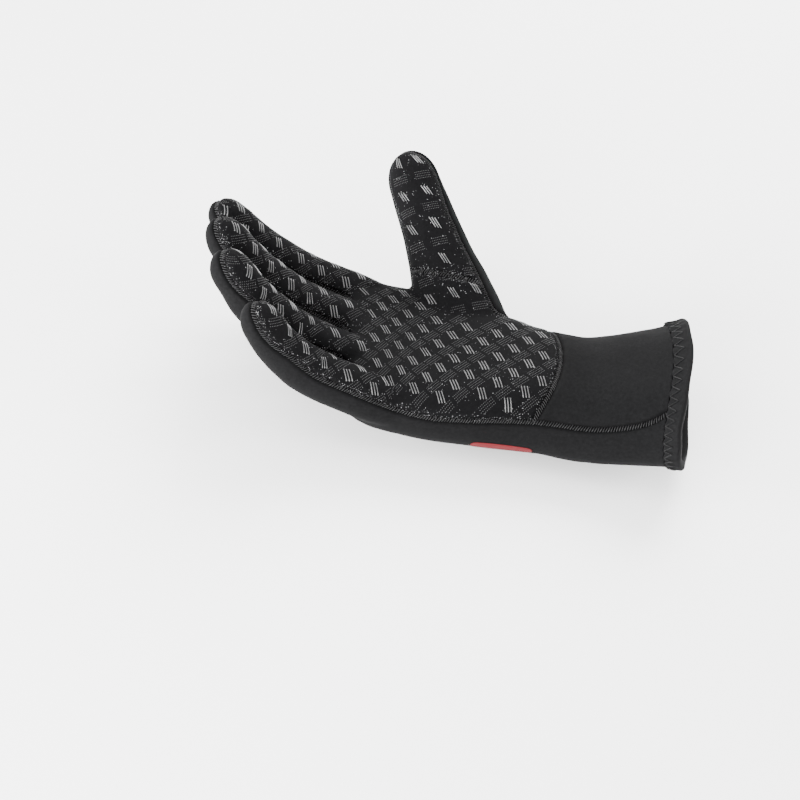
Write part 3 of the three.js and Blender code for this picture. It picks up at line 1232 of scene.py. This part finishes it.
@dataclass(frozen=True)
class Weave:
    """How the groups of bars lie in the cloth, in millimetres.

    Attributes:
        step_a: from one group to the next along the rows of beads.
        step_b: from one row of groups to the next.
        along: the way of the glossy bars.
        offset: from one glossy bar to the next in its group.
        start: where one glossy group lies.
    """

    step_a: tuple[float, float]
    step_b: tuple[float, float]
    along: tuple[float, float]
    offset: tuple[float, float]
    start: tuple[float, float]


PALM_WEAVE = Weave((5.7, 8.3), (8.2, -9.5), (0.485, -0.874), (1.35, 0.45), (-2.8, 2.0))
THUMB_WEAVE = Weave((0.8, 12.8), (18.4, -1.6), (0.964, 0.267), (0.6, 1.35), (1.2, -5.0))


@dataclass
class GripBars:
    """The basket weave of raised bars and rows of beads, printed on the grip side."""

    skin: Skin
    row_gap: float = 1.2
    bead_gap: float = 0.95
    beads: int = 9
    least: int = 2
    clear: float = 1.4 * MM

    def bar(self, kind: BarKind) -> BMesh:
        """One straight bar, its x along it and its z out of the cloth.

        Args:
            kind: which bar.

        Returns:
            Its mesh.
        """
        length, width, height, _ = (v * MM for v in kind.value)
        bm = bmesh.new()
        bmesh.ops.create_cube(bm, size=1.0)
        for v in bm.verts:
            v.co = (v.co.x * length, v.co.y * width, v.co.z * height + height * 0.5 - 0.15 * MM)
        if kind is BarKind.MATTE:
            for v in bm.verts:
                if v.co.z > 0:
                    v.co.xy *= 0.6
            return bm
        long = [e for e in bm.edges if abs(e.verts[0].co.x - e.verts[1].co.x) > length / 2]
        bmesh.ops.subdivide_edges(bm, edges=long, cuts=4)
        top = max(v.co.z for v in bm.verts)
        round_off = [e for e in bm.edges if all(v.co.z > top - 1e-6 for v in e.verts)]
        round_off = [e for e in round_off if len(e.link_faces) == 2]
        rim = [e for e in round_off if any(abs(f.normal.z) < 0.5 for f in e.link_faces)]
        bmesh.ops.bevel(
            bm,
            geom=rim,
            offset=height * 0.55,
            segments=2,
            profile=0.5,
            affect="EDGES",
            material=-1,
        )
        return bm

    def chart(self, tube: Tube, x: float, y: float) -> tuple[Vector, Vector]:
        """A ray from inside a tube through a point of the developed cloth.

        Args:
            tube: the hand or a digit.
            x: the cloth's length, from the wrist towards the gauntlet.
            y: the cloth's width, to the thumb's side.

        Returns:
            The ray's start and its way.
        """
        if isinstance(tube, Hand):
            distance = -x
            size = tube.size_at(distance)
            frame_of = tube.frame_at(distance)
            start = tube.place(frame_of, size, y - size.shift, 0.0)
            return start, frame_of[1] @ Z_AXIS
        web = tube.hand.palm_length * (1.0 - tube.setback)
        distance = -x - web + tube.root
        size = tube.size_at(min(distance, tube.neck))
        point, turn = tube.frame_at(distance)
        angle = (y - tube.across * tube.hand.palm_width) / (0.25 * size.width + 0.5 * size.palm)
        way = turn @ Vector((0.0, math.sin(angle), math.cos(angle)))
        return point + Tube.offset, way

    def groups(self, tube: Tube, kind: BarKind) -> list[list[tuple[float, float, float]]]:
        """Where the bars of a tube lie in the cloth.

        Args:
            tube: the hand or a digit.
            kind: which bars.

        Returns:
            The cloth's x and y and the angle of each bar, group by group.
        """
        if isinstance(tube, Hand):
            reach_x, reach_y, middle = (-115, 20), (-60, 60), 0.0
        else:
            web = tube.hand.palm_length * (1.0 - tube.setback) / MM
            middle = tube.across * tube.hand.palm_width / MM
            end = web + tube.length / MM
            reach_x, reach_y = (-end, -web + 40), (middle - 30, middle + 30)
        weave = THUMB_WEAVE if tube is self.skin.skeleton.thumb else PALM_WEAVE
        a, b = Vector(weave.step_a), Vector(weave.step_b)
        rows = kind.value[3]
        spots = [k - (rows - 1) / 2 for k in range(rows)]
        if kind is BarKind.GLOSSY:
            start, along = Vector(weave.start), Vector(weave.along)
            places = [Vector(weave.offset) * k for k in spots]
        else:
            start, along = Vector(weave.start) + b / 2, a.normalized()
            side = Vector((-along.y, along.x)) * self.row_gap
            beads = [k - (self.beads - 1) / 2 for k in range(self.beads)]
            places = [side * k + along * (self.bead_gap * n) for k in spots for n in beads]
        angle = math.atan2(along.y, along.x)
        groups = []
        for i in range(-40, 41):
            for j in range(-40, 41):
                at = start + a * i + b * j
                if reach_x[0] < at.x < reach_x[1] and reach_y[0] < at.y < reach_y[1]:
                    spread = [at + place for place in places]
                    groups.append([(s.x * MM, s.y * MM, angle) for s in spread])
        return groups

    def hit(self, tube: Tube, x: float, y: float) -> tuple[Vector, Vector, int] | None:
        """Where the ray of a spot leaves the skin."""
        start, way = self.chart(tube, x, y)
        point, normal, face, _ = self.skin.tree.ray_cast(start, way, 60 * MM)
        return None if point is None or normal.dot(way) < 0.25 else (point, normal, face)

    def build(self, kind: BarKind) -> bpy.types.Object:
        """Lays one kind of bars over the grip side.

        Args:
            kind: which bars.

        Returns:
            One object with all of them.
        """
        template = self.bar(kind)
        shape = np.array([v.co[:] for v in template.verts])
        half = kind.value[0] * MM / 2
        blocks = []
        for number, tube in enumerate(self.skin.skeleton.tubes):
            for group in self.groups(tube, kind):
                laid = [self.lay(tube, number, shape, half, spot) for spot in group]
                laid = [block for block in laid if block]
                if len(laid) >= self.least:
                    blocks += laid
        obj, _ = copies(f"{kind.name.lower()}_bars", template, len(blocks))
        set_points(obj, np.array(blocks).reshape(-1, 3))
        return obj

    def lay(
        self, tube: Tube, number: int, shape: np.ndarray, half: float, spot: tuple
    ) -> list[Vector]:
        """Lays one bar on the skin.

        Args:
            tube: the hand or a digit.
            number: the tube's number.
            shape: the bar's points.
            half: half its length.
            spot: its place in the cloth and its angle.

        Returns:
            Its points on the skin, none where it doesn't fit.
        """
        x, y, angle = spot
        cos, sin = math.cos(angle), math.sin(angle)
        ends = [(x + k * cos * half, y + k * sin * half) for k in (-1.0, 0.0, 1.0)]
        hits = [self.hit(tube, *end) for end in ends]
        if None in hits or not all(self.fits(number, *h) for h in hits):
            return []
        block = []
        for u, v, h in shape:
            at = self.hit(tube, x + u * cos - v * sin, y + u * sin + v * cos)
            if at is None:
                return []
            block.append(at[0] + at[1] * h)
        return block

    def fits(self, number: int, point: Vector, normal: Vector, face: int) -> bool:
        """Whether a bar may lie at a point: on its own tube's cloth and clear of the seams."""
        if self.skin.face_owners[face] != number:
            return False
        if self.skin.face_panels[face] not in GRIP_PANELS:
            return False
        return self.skin.seam_tree.find(point)[2] > self.clear


@dataclass
class Hem:
    """The thick band round the gauntlet's mouth and its zigzag thread."""

    proud = 0.9 * MM
    hand: Hand
    length: float = 9.0 * MM
    thickness: float = 4.6 * MM
    rim: float = 3.2 * MM
    around: int = 264
    sides: int = 28
    pitch: float = 5.0 * MM
    thread: float = 0.27 * MM

    def at(self, angle: float, run: float, inset: float) -> Vector:
        """A point of the band: round the mouth, in from its edge and in from the outside."""
        return self.hand.surface(-self.hand.cuff_length + run, angle, inset)

    def wave(self, angle: float, share: float) -> float:
        """The ruffle of the band, strongest at its inner edge."""
        ruffle = math.sin(angle * 41.0) + 0.5 * math.sin(angle * 23.0 + 1.0)
        return 0.32 * MM * ruffle * share

    def band(self) -> bpy.types.Object:
        """The band itself, a closed ring of a rounded section.

        Returns:
            The band, which stands for its CAD node.
        """
        bm = bmesh.new()

        def place(i: int, j: int) -> Vector:
            """A point of the band."""
            angle = 2 * math.pi * i / self.around
            turn = 2 * math.pi * j / self.sides
            c, s = math.cos(turn), math.sin(turn)
            c, s = math.copysign(abs(c) ** 0.45, c), math.copysign(abs(s) ** 0.45, s)
            run = self.length * (0.5 + 0.5 * c)
            share = run / self.length
            inset = -self.proud + self.thickness * (0.5 - 0.5 * s)
            if s > 0:
                valley = math.exp(-(((run - self.rim) / (0.7 * MM)) ** 2))
                swell = math.exp(-(((run - self.rim / 2) / (1.3 * MM)) ** 2))
                inset += 0.55 * MM * valley - 0.45 * MM * swell + self.wave(angle, share)
            run += 0.8 * self.wave(angle + 0.4, share)
            run -= 0.25 * MM * math.sin(angle * 9.0) * (1.0 - share)
            return self.at(angle, run, inset)

        shell(bm, self.around, self.sides, place, closed=True)
        bmesh.ops.recalc_face_normals(bm, faces=bm.faces)
        return new_object("hem_band", bm)

    def zigzag(self) -> bpy.types.Object:
        """The zigzag thread round the inner part of the band.

        Returns:
            The thread as one closed cord.
        """
        ring = [self.at(2 * math.pi * i / 90, 5 * MM, 0.0) for i in range(90)]
        girth = sum((ring[i] - ring[i - 1]).length for i in range(90))
        count = round(girth / self.pitch)
        low, high = self.rim + 0.9 * MM, self.length - 0.5 * MM
        points, normals = [], []
        legs = 5
        for i in range(count * 2 * legs):
            share = i / (count * 2 * legs)
            angle = 2 * math.pi * share
            swing = abs((i / legs) % 2 - 1)
            run = lerp(low, high, swing)
            out = -self.proud - 0.12 * MM + self.wave(angle, run / self.length)
            points.append(self.at(angle, run, out))
            normals.append(self.at(angle, run, out - 1 * MM) - points[-1])
        bm = bmesh.new()
        sides = 6

        def place(i: int, j: int) -> Vector:
            """A point of the thread's surface."""
            way = (points[(i + 1) % len(points)] - points[i - 1]).normalized()
            out = normals[i].normalized()
            across = way.cross(out).normalized()
            turn = 2 * math.pi * j / sides
            return points[i] + (out * math.sin(turn) + across * math.cos(turn)) * self.thread

        shell(bm, len(points), sides, place, closed=True)
        bmesh.ops.recalc_face_normals(bm, faces=bm.faces)
        return new_object("hem_zigzag", bm)


@dataclass
class Print:
    """A plain red bar with round ends, printed low on the gauntlet's little-finger side."""

    skin: Skin
    middle: Vector
    way: Vector
    length: float = 30.0 * MM
    width: float = 6.0 * MM
    thick: float = 0.12 * MM

    def build(self) -> bpy.types.Object:
        """Lays the bar on the skin.

        Returns:
            The bar.
        """
        bm = bmesh.new()
        bmesh.ops.create_grid(bm, x_segments=40, y_segments=12, size=1.0)
        point, normal, _, _ = self.skin.tree.find_nearest(self.middle)
        along = (self.way - normal * self.way.dot(normal)).normalized()
        across = normal.cross(along)
        half = self.width / 2
        for v in bm.verts:
            side = v.co.y
            end = half * math.sqrt(max(1.0 - side**2, 0.0)) - half
            x = v.co.x * (self.length / 2 + end)
            spot = point + along * x + across * side * half
            near, out, _, _ = self.skin.tree.find_nearest(spot)
            v.co = near + out * self.thick
        bmesh.ops.recalc_face_normals(bm, faces=bm.faces)
        obj = new_object("print_bar", bm)
        wall = obj.modifiers.new("Ink", "SOLIDIFY")
        wall.thickness = self.thick * 1.5
        wall.offset = -1.0
        return obj


class Graph:
    """Builds a node tree."""

    def __init__(self, tree: bpy.types.NodeTree) -> None:
        """Keeps the tree."""
        self.tree = tree

    def add(self, kind: str, inputs: dict | None = None, **settings: object) -> bpy.types.Node:
        """Adds a node.

        Args:
            kind: the node's type.
            inputs: values or sockets for its inputs, by name or number.
            settings: its own settings.

        Returns:
            The node.
        """
        node = self.tree.nodes.new(kind)
        for name, value in settings.items():
            setattr(node, name, value)
        for key, value in (inputs or {}).items():
            if isinstance(value, bpy.types.NodeSocket):
                self.tree.links.new(value, node.inputs[key])
            else:
                node.inputs[key].default_value = value
        return node

    def math(self, operation: str, *values: object) -> bpy.types.NodeSocket:
        """The result of a math node on values or sockets."""
        node = self.add("ShaderNodeMath", dict(enumerate(values)), operation=operation)
        return node.outputs[0]


def new_group(name: str, inputs: dict[str, float], outputs: Sequence[str]) -> Graph:
    """Starts a node group.

    Args:
        name: its name.
        inputs: its number sockets, with their defaults.
        outputs: its number outputs.

    Returns:
        The group's graph.
    """
    tree = bpy.data.node_groups.new(name, "ShaderNodeTree")
    for key, value in inputs.items():
        socket = tree.interface.new_socket(key, in_out="INPUT", socket_type="NodeSocketFloat")
        socket.default_value = value
    for key in outputs:
        tree.interface.new_socket(key, in_out="OUTPUT", socket_type="NodeSocketFloat")
    return Graph(tree)


class Effects:
    """The node groups that the finishes share."""

    def __init__(self) -> None:
        """Makes the groups."""
        self.knit = self.make_knit()
        self.lint = self.make_painted_glints()

    def make_knit(self) -> bpy.types.NodeTree:
        """Fine ribs of knitted cloth with a soft unevenness.

        Returns:
            The group, with a shade round 1 and a height.
        """
        graph = new_group("Knit", {"Scale": 1500.0, "Unevenness": 0.35}, ("Shade", "Height"))
        inside = graph.add("NodeGroupInput")
        place = graph.add("ShaderNodeTexCoord").outputs["Object"]
        scale = inside.outputs["Scale"]
        loops = graph.add("ShaderNodeTexVoronoi", {"Vector": place, "Scale": scale})
        soft = graph.add("ShaderNodeTexNoise", {"Vector": place, "Scale": 45.0, "Detail": 3.0})
        fine = graph.add("ShaderNodeTexNoise", {"Vector": place, "Scale": 700.0, "Detail": 2.0})
        swing = graph.math("SUBTRACT", soft.outputs[0], 0.5)
        uneven = graph.math("MULTIPLY", swing, inside.outputs["Unevenness"])
        grain = graph.math("MULTIPLY", graph.math("SUBTRACT", fine.outputs[0], 0.5), 0.9)
        shade = graph.math("ADD", graph.math("ADD", uneven, grain), 1.0)
        graph.add("NodeGroupOutput", {"Shade": shade, "Height": loops.outputs["Distance"]})
        return graph.tree

    def make_painted_glints(self) -> bpy.types.NodeTree:
        """Tiny pale specks, painted glints of the cloth's small glossy dots, more of them where
        Near is high.

        Returns:
            The group, with a mask.
        """
        graph = new_group("Lint", {"Scale": 1900.0, "Amount": 0.08, "Near": 0.0}, ("Mask",))
        inside = graph.add("NodeGroupInput")
        place = graph.add("ShaderNodeTexCoord").outputs["Object"]
        cells = graph.add(
            "ShaderNodeTexVoronoi", {"Vector": place, "Scale": inside.outputs["Scale"]}
        )
        pick = graph.add("ShaderNodeSeparateColor", {"Color": cells.outputs["Color"]})
        more = graph.math("MULTIPLY", inside.outputs["Near"], 0.45)
        share = graph.math("ADD", inside.outputs["Amount"], more)
        chosen = graph.math("LESS_THAN", pick.outputs[0], share)
        dot = graph.math("LESS_THAN", cells.outputs["Distance"], 0.36)
        mask = graph.math("MULTIPLY", chosen, dot)
        faint = graph.math("MULTIPLY", mask, graph.math("POWER", pick.outputs[1], 2.5))
        graph.add("NodeGroupOutput", {"Mask": faint})
        return graph.tree


@dataclass(frozen=True)
class Finish:
    """A finish: a plain or knitted surface of one colour; a knitted one gets painted shade near
    its seams and may get painted glints.
    """

    name: str
    colour: tuple[float, float, float]
    roughness: float
    lint: float = 0.0
    sheen: float = 0.0
    coat: float = 0.0
    specular: float = 0.5
    bump: float = 0.15

    def material(self, effects: Effects | None = None) -> bpy.types.Material:
        """Makes the material.

        Args:
            effects: the shared node groups, for a knitted cloth.

        Returns:
            The material.
        """
        material = bpy.data.materials.new(self.name)
        material.use_nodes = True
        graph = Graph(material.node_tree)
        shader = material.node_tree.nodes["Principled BSDF"]
        shader.inputs["Base Color"].default_value = (*self.colour, 1.0)
        shader.inputs["Roughness"].default_value = self.roughness
        shader.inputs["Sheen Weight"].default_value = self.sheen
        shader.inputs["Coat Weight"].default_value = self.coat
        shader.inputs["Coat Roughness"].default_value = 0.2
        shader.inputs["Specular IOR Level"].default_value = self.specular
        if effects is None:
            return material
        links = material.node_tree.links
        knit = graph.add("ShaderNodeGroup", node_tree=effects.knit)
        # Painted shade: the cloth's colour is darkened within a few millimetres of each seam,
        # standing for shade in the seam's groove.
        near = graph.add("ShaderNodeAttribute", attribute_name="seam")
        painted_seam_shade = graph.math("MULTIPLY", graph.math("POWER", near.outputs["Fac"], 5.0), 0.7)
        shade = graph.math("MULTIPLY", knit.outputs["Shade"], graph.math("SUBTRACT", 1.0, painted_seam_shade))
        shaded = graph.add(
            "ShaderNodeVectorMath", {0: self.colour, "Scale": shade}, operation="SCALE"
        )
        colour = shaded.outputs[0]
        if self.lint > 0:
            lint = graph.add("ShaderNodeGroup", node_tree=effects.lint)
            lint.inputs["Amount"].default_value = self.lint
            links.new(near.outputs["Fac"], lint.inputs["Near"])
            # Painted glints: pale specks mixed into the colour stand for light caught by the
            # cloth's tiny glossy dots.
            pale = (0.22, 0.22, 0.225, 1.0)
            mixed = graph.add(
                "ShaderNodeMix",
                {"Factor": lint.outputs["Mask"], 6: colour, 7: pale},
                data_type="RGBA",
            )
            colour = mixed.outputs[2]
        links.new(colour, shader.inputs["Base Color"])
        bump = graph.add(
            "ShaderNodeBump",
            {"Strength": self.bump, "Distance": 0.3 * MM, "Height": knit.outputs["Height"]},
        )
        links.new(bump.outputs[0], shader.inputs["Normal"])
        return material


GRIP = Finish("Grip cloth", (0.0027, 0.0027, 0.0029), 0.7, lint=0.05, specular=0.02)
JERSEY = Finish("Neoprene jersey", (0.004, 0.004, 0.0042), 0.8, sheen=0.012, specular=0.015)
LINING = Finish("Lining", (0.004, 0.004, 0.0042), 0.9, specular=0.02)
HEM_CLOTH = Finish("Hem cloth", (0.0045, 0.0045, 0.0047), 0.75, specular=0.03)
THREAD = Finish("Thread", (0.008, 0.008, 0.0083), 0.5, specular=0.16)
HEM_THREAD = Finish("Hem thread", (0.004, 0.004, 0.0041), 0.5, specular=0.12)
# The glossy bars' base colour is raised as painted highlight, to brighten their glints, and the
# beads' is kept darker as painted shade for the rows that lie across the light; roughness and
# coat are their own.
BAR_GLOSS = Finish("Glossy bars", (0.024, 0.024, 0.0245), 0.3, coat=0.5)
BAR_MATTE = Finish("Matte beads", (0.014, 0.014, 0.0143), 0.45, specular=0.25)
INK = Finish("Red print", (0.085, 0.004, 0.006), 0.6, specular=0.15)


@dataclass
class Studio:
    """The camera at the photo's angle, the lights and the pale floor."""

    elevation: float = 42.0
    roll: float = 13.0
    distance: float = 0.95
    focal: float = 1950.0
    size: int = 800
    shown_at: tuple[float, float] = (560.0, 399.0)

    def camera(self) -> bpy.types.Object:
        """Sets up the camera.

        Returns:
            The camera.
        """
        el, roll = math.radians(self.elevation), math.radians(self.roll)
        back = Vector((0.0, -math.cos(el), math.sin(el)))
        right, up = Vector((1.0, 0.0, 0.0)), Vector((0.0, math.sin(el), math.cos(el)))
        self.right = right * math.cos(roll) + up * math.sin(roll)
        self.up = up * math.cos(roll) - right * math.sin(roll)
        self.back = back
        target = Tube.offset + Vector((0.0, 0.0, 20 * MM))
        shift = [(at - self.size / 2) * self.distance / self.focal for at in self.shown_at]
        eye = target + back * self.distance - self.right * shift[0] + self.up * shift[1]
        data = bpy.data.cameras.new("camera")
        data.sensor_width = 36.0
        data.lens = self.focal / self.size * data.sensor_width
        data.clip_end = 20.0
        camera = bpy.data.objects.new("camera", data)
        axes = Matrix((self.right, self.up, back)).transposed().to_4x4()
        camera.matrix_world = Matrix.Translation(eye) @ axes
        bpy.context.scene.collection.objects.link(camera)
        bpy.context.scene.camera = camera
        self.eye = eye
        return camera

    def ray(self, column: float, row: float) -> Vector:
        """The way from the eye through a place in the picture."""
        x, y = (column - self.size / 2) / self.focal, (self.size / 2 - row) / self.focal
        return (self.right * x + self.up * y - self.back).normalized()

    def area(self, name: str, at: Vector, size: float, power: float) -> None:
        """Adds a soft light that looks at the glove.

        Args:
            name: its name.
            at: its place.
            size: its width.
            power: its power in watts.
        """
        data = bpy.data.lights.new(name, "AREA")
        data.shape = "SQUARE"
        data.size = size
        data.energy = power
        light = bpy.data.objects.new(name, data)
        look = (-at).to_track_quat("-Z", "Y").to_matrix().to_4x4()
        light.matrix_world = Matrix.Translation(at) @ look
        bpy.context.scene.collection.objects.link(light)

    def build(self) -> None:
        """Adds the lights, the sky and the floor."""
        self.area("back light", Vector((0.1, 0.9, 0.85)), 0.9, 46.0)
        self.area("key light", Vector((-0.6, -0.3, 1.1)), 0.6, 8.0)
        self.area("front light", Vector((-0.4, -1.1, 0.3)), 0.7, 56.0)
        self.area("left light", Vector((-1.1, -0.4, 0.12)), 0.6, 85.0)
        self.area("right light", Vector((1.1, 0.1, 0.4)), 0.6, 20.0)
        world = bpy.data.worlds.new("studio")
        world.use_nodes = True
        sky = world.node_tree.nodes["Background"]
        sky.inputs["Color"].default_value = (1.0, 1.0, 1.0, 1.0)
        sky.inputs["Strength"].default_value = 1.6
        bpy.context.scene.world = world
        bm = bmesh.new()
        bmesh.ops.create_grid(bm, x_segments=1, y_segments=1, size=6.0)
        floor = new_object("floor", bm)
        paper = Finish("Paper", (0.93, 0.93, 0.93), 0.9)
        floor.data.materials.append(paper.material())
        for v in floor.data.vertices:
            v.co.z = -0.0002


def main() -> None:
    """Builds the glove and the studio."""
    logging.basicConfig(level=logging.INFO, format="%(message)s")
    effects = Effects()
    grip, jersey, lining = (f.material(effects) for f in (GRIP, JERSEY, LINING))
    skeleton = Skeleton()
    skin = Skin(skeleton)
    skin.build()
    for panel in PANELS:
        obj = skin.panel(panel)
        is_grip = panel in GRIP_PANELS
        finish_piece(obj, "grip" if is_grip else "neoprene", grip if is_grip else jersey, lining)
        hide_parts(panel.value)
    seams = Seams(skin).build()
    finish_piece(seams, "neoprene", THREAD.material())
    bars = GripBars(skin)
    finish_piece(bars.build(BarKind.GLOSSY), "grip", BAR_GLOSS.material())
    finish_piece(bars.build(BarKind.MATTE), "grip", BAR_MATTE.material())
    hem = Hem(skeleton.hand)
    band = hem.band()
    finish_piece(band, "hem", HEM_CLOTH.material(effects))
    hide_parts("hem_band")
    finish_piece(hem.zigzag(), "hem", HEM_THREAD.material())
    studio = Studio()
    studio.camera()
    hit = skin.tree.ray_cast(studio.eye, studio.ray(503, 443))
    if hit[0] is not None:
        mark = Print(skin, hit[0] - Z_AXIS * 4.5 * MM, Vector((1.0, 0.0, -0.1)))
        finish_piece(mark.build(), "neoprene", INK.material())
    studio.build()


if __name__ == "__main__":
    main()
